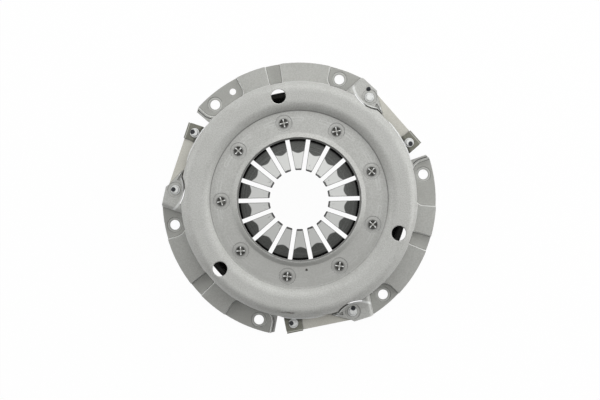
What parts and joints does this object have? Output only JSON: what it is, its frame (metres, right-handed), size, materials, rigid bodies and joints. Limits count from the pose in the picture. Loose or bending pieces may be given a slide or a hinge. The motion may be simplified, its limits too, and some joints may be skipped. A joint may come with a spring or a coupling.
{
  "type": "clutch pressure plate",
  "caption": "Diaphragm-spring clutch cover assembly: pressed steel cover, cast pressure plate, slotted diaphragm spring, wire fulcrum rings, tangential drive straps and rivets.",
  "frame": {"origin": "centre of the flywheel bolt circle, on the mounting face under the flange's pads", "axes": "+Z along the clutch axis, away from the flywheel towards the gearbox; +X to the right in the picture"},
  "size_m": [0.2479, 0.245, 0.04],
  "materials": {
    "pressed_steel": "satin, blasted, light grey",
    "wire_steel": "drawn wire",
    "rivet_steel": "bright, zinc plated",
    "strap_steel": "rolled spring steel",
    "clip_steel": "oil-blackened spring steel",
    "spring_steel": "shot-peened grey, polished towards the tips",
    "cast_iron": "machined faces, as-cast back"
  },
  "bodies": {
    "cover": {"cover_shell": "pressed_steel", "upper_fulcrum_ring": "wire_steel", "lower_fulcrum_ring": "wire_steel", "fulcrum_rivets": "rivet_steel", "cover_strap_rivets": "rivet_steel", "drive_strap_a": "strap_steel", "drive_strap_b": "strap_steel", "drive_strap_c": "strap_steel"},
    "plate": {"pressure_plate": "cast_iron", "plate_strap_rivets": "rivet_steel", "retraction_clip_a": "clip_steel", "retraction_clip_b": "clip_steel", "retraction_clip_c": "clip_steel"},
    "finger_01": {"diaphragm_finger_01": "spring_steel"},
    "finger_02": {"diaphragm_finger_02": "spring_steel"},
    "finger_03": {"diaphragm_finger_03": "spring_steel"},
    "finger_04": {"diaphragm_finger_04": "spring_steel"},
    "finger_05": {"diaphragm_finger_05": "spring_steel"},
    "finger_06": {"diaphragm_finger_06": "spring_steel"},
    "finger_07": {"diaphragm_finger_07": "spring_steel"},
    "finger_08": {"diaphragm_finger_08": "spring_steel"},
    "finger_09": {"diaphragm_finger_09": "spring_steel"},
    "finger_10": {"diaphragm_finger_10": "spring_steel"},
    "finger_11": {"diaphragm_finger_11": "spring_steel"},
    "finger_12": {"diaphragm_finger_12": "spring_steel"},
    "finger_13": {"diaphragm_finger_13": "spring_steel"},
    "finger_14": {"diaphragm_finger_14": "spring_steel"},
    "finger_15": {"diaphragm_finger_15": "spring_steel"},
    "finger_16": {"diaphragm_finger_16": "spring_steel"},
    "finger_17": {"diaphragm_finger_17": "spring_steel"},
    "finger_18": {"diaphragm_finger_18": "spring_steel"}
  },
  "joints": [
    {"name": "plate_slide", "type": "slide", "parent": "cover", "child": "plate", "axis": [0, 0, 1], "range_m": [0, 0.005], "stiffness_N_per_m": 15000, "springref_m": -0.001, "deforming": ["drive_strap_a", "drive_strap_b", "drive_strap_c"]},
    {"name": "finger_01_pivot", "type": "hinge", "parent": "cover", "child": "finger_01", "pos_m": [0.07299, 0.01458, 0.02665], "axis": [0.1959, -0.9806, 0], "range_deg": [0, 21.69]},
    {"name": "finger_02_pivot", "type": "hinge", "parent": "cover", "child": "finger_02", "pos_m": [0.0636, 0.03867, 0.02665], "axis": [0.5195, -0.8545, 0], "range_deg": [0, 21.69]},
    {"name": "finger_03_pivot", "type": "hinge", "parent": "cover", "child": "finger_03", "pos_m": [0.04654, 0.05809, 0.02665], "axis": [0.7804, -0.6252, 0], "range_deg": [0, 21.69]},
    {"name": "finger_04_pivot", "type": "hinge", "parent": "cover", "child": "finger_04", "pos_m": [0.02386, 0.0705, 0.02665], "axis": [0.9472, -0.3206, 0], "range_deg": [0, 21.69]},
    {"name": "finger_05_pivot", "type": "hinge", "parent": "cover", "child": "finger_05", "pos_m": [-0.00169, 0.07441, 0.02665], "axis": [0.9997, 0.0227, 0], "range_deg": [0, 21.69]},
    {"name": "finger_06_pivot", "type": "hinge", "parent": "cover", "child": "finger_06", "pos_m": [-0.02704, 0.06935, 0.02665], "axis": [0.9317, 0.3633, 0], "range_deg": [0, 21.69]},
    {"name": "finger_07_pivot", "type": "hinge", "parent": "cover", "child": "finger_07", "pos_m": [-0.04912, 0.05592, 0.02665], "axis": [0.7513, 0.66, 0], "range_deg": [0, 21.69]},
    {"name": "finger_08_pivot", "type": "hinge", "parent": "cover", "child": "finger_08", "pos_m": [-0.06529, 0.03574, 0.02665], "axis": [0.4802, 0.8771, 0], "range_deg": [0, 21.69]},
    {"name": "finger_09_pivot", "type": "hinge", "parent": "cover", "child": "finger_09", "pos_m": [-0.07357, 0.01126, 0.02665], "axis": [0.1513, 0.9885, 0], "range_deg": [0, 21.69]},
    {"name": "finger_10_pivot", "type": "hinge", "parent": "cover", "child": "finger_10", "pos_m": [-0.07299, -0.01458, 0.02665], "axis": [-0.1959, 0.9806, 0], "range_deg": [0, 21.69]},
    {"name": "finger_11_pivot", "type": "hinge", "parent": "cover", "child": "finger_11", "pos_m": [-0.0636, -0.03867, 0.02665], "axis": [-0.5195, 0.8545, 0], "range_deg": [0, 21.69]},
    {"name": "finger_12_pivot", "type": "hinge", "parent": "cover", "child": "finger_12", "pos_m": [-0.04654, -0.05809, 0.02665], "axis": [-0.7804, 0.6252, 0], "range_deg": [0, 21.69]},
    {"name": "finger_13_pivot", "type": "hinge", "parent": "cover", "child": "finger_13", "pos_m": [-0.02386, -0.0705, 0.02665], "axis": [-0.9472, 0.3206, 0], "range_deg": [0, 21.69]},
    {"name": "finger_14_pivot", "type": "hinge", "parent": "cover", "child": "finger_14", "pos_m": [0.00169, -0.07441, 0.02665], "axis": [-0.9997, -0.0227, 0], "range_deg": [0, 21.69]},
    {"name": "finger_15_pivot", "type": "hinge", "parent": "cover", "child": "finger_15", "pos_m": [0.02704, -0.06935, 0.02665], "axis": [-0.9317, -0.3633, 0], "range_deg": [0, 21.69]},
    {"name": "finger_16_pivot", "type": "hinge", "parent": "cover", "child": "finger_16", "pos_m": [0.04912, -0.05592, 0.02665], "axis": [-0.7513, -0.66, 0], "range_deg": [0, 21.69]},
    {"name": "finger_17_pivot", "type": "hinge", "parent": "cover", "child": "finger_17", "pos_m": [0.06529, -0.03574, 0.02665], "axis": [-0.4802, -0.8771, 0], "range_deg": [0, 21.69]},
    {"name": "finger_18_pivot", "type": "hinge", "parent": "cover", "child": "finger_18", "pos_m": [0.07357, -0.01126, 0.02665], "axis": [-0.1513, -0.9885, 0], "range_deg": [0, 21.69]}
  ],
  "couplings": [
    {"joint": "finger_01_pivot", "follows": "plate_slide", "rad_per_m": 74.664},
    {"joint": "finger_02_pivot", "follows": "plate_slide", "rad_per_m": 74.664},
    {"joint": "finger_03_pivot", "follows": "plate_slide", "rad_per_m": 74.664},
    {"joint": "finger_04_pivot", "follows": "plate_slide", "rad_per_m": 74.664},
    {"joint": "finger_05_pivot", "follows": "plate_slide", "rad_per_m": 74.664},
    {"joint": "finger_06_pivot", "follows": "plate_slide", "rad_per_m": 74.664},
    {"joint": "finger_07_pivot", "follows": "plate_slide", "rad_per_m": 74.664},
    {"joint": "finger_08_pivot", "follows": "plate_slide", "rad_per_m": 74.664},
    {"joint": "finger_09_pivot", "follows": "plate_slide", "rad_per_m": 74.664},
    {"joint": "finger_10_pivot", "follows": "plate_slide", "rad_per_m": 74.664},
    {"joint": "finger_11_pivot", "follows": "plate_slide", "rad_per_m": 74.664},
    {"joint": "finger_12_pivot", "follows": "plate_slide", "rad_per_m": 74.664},
    {"joint": "finger_13_pivot", "follows": "plate_slide", "rad_per_m": 74.664},
    {"joint": "finger_14_pivot", "follows": "plate_slide", "rad_per_m": 74.664},
    {"joint": "finger_15_pivot", "follows": "plate_slide", "rad_per_m": 74.664},
    {"joint": "finger_16_pivot", "follows": "plate_slide", "rad_per_m": 74.664},
    {"joint": "finger_17_pivot", "follows": "plate_slide", "rad_per_m": 74.664},
    {"joint": "finger_18_pivot", "follows": "plate_slide", "rad_per_m": 74.664}
  ]
}
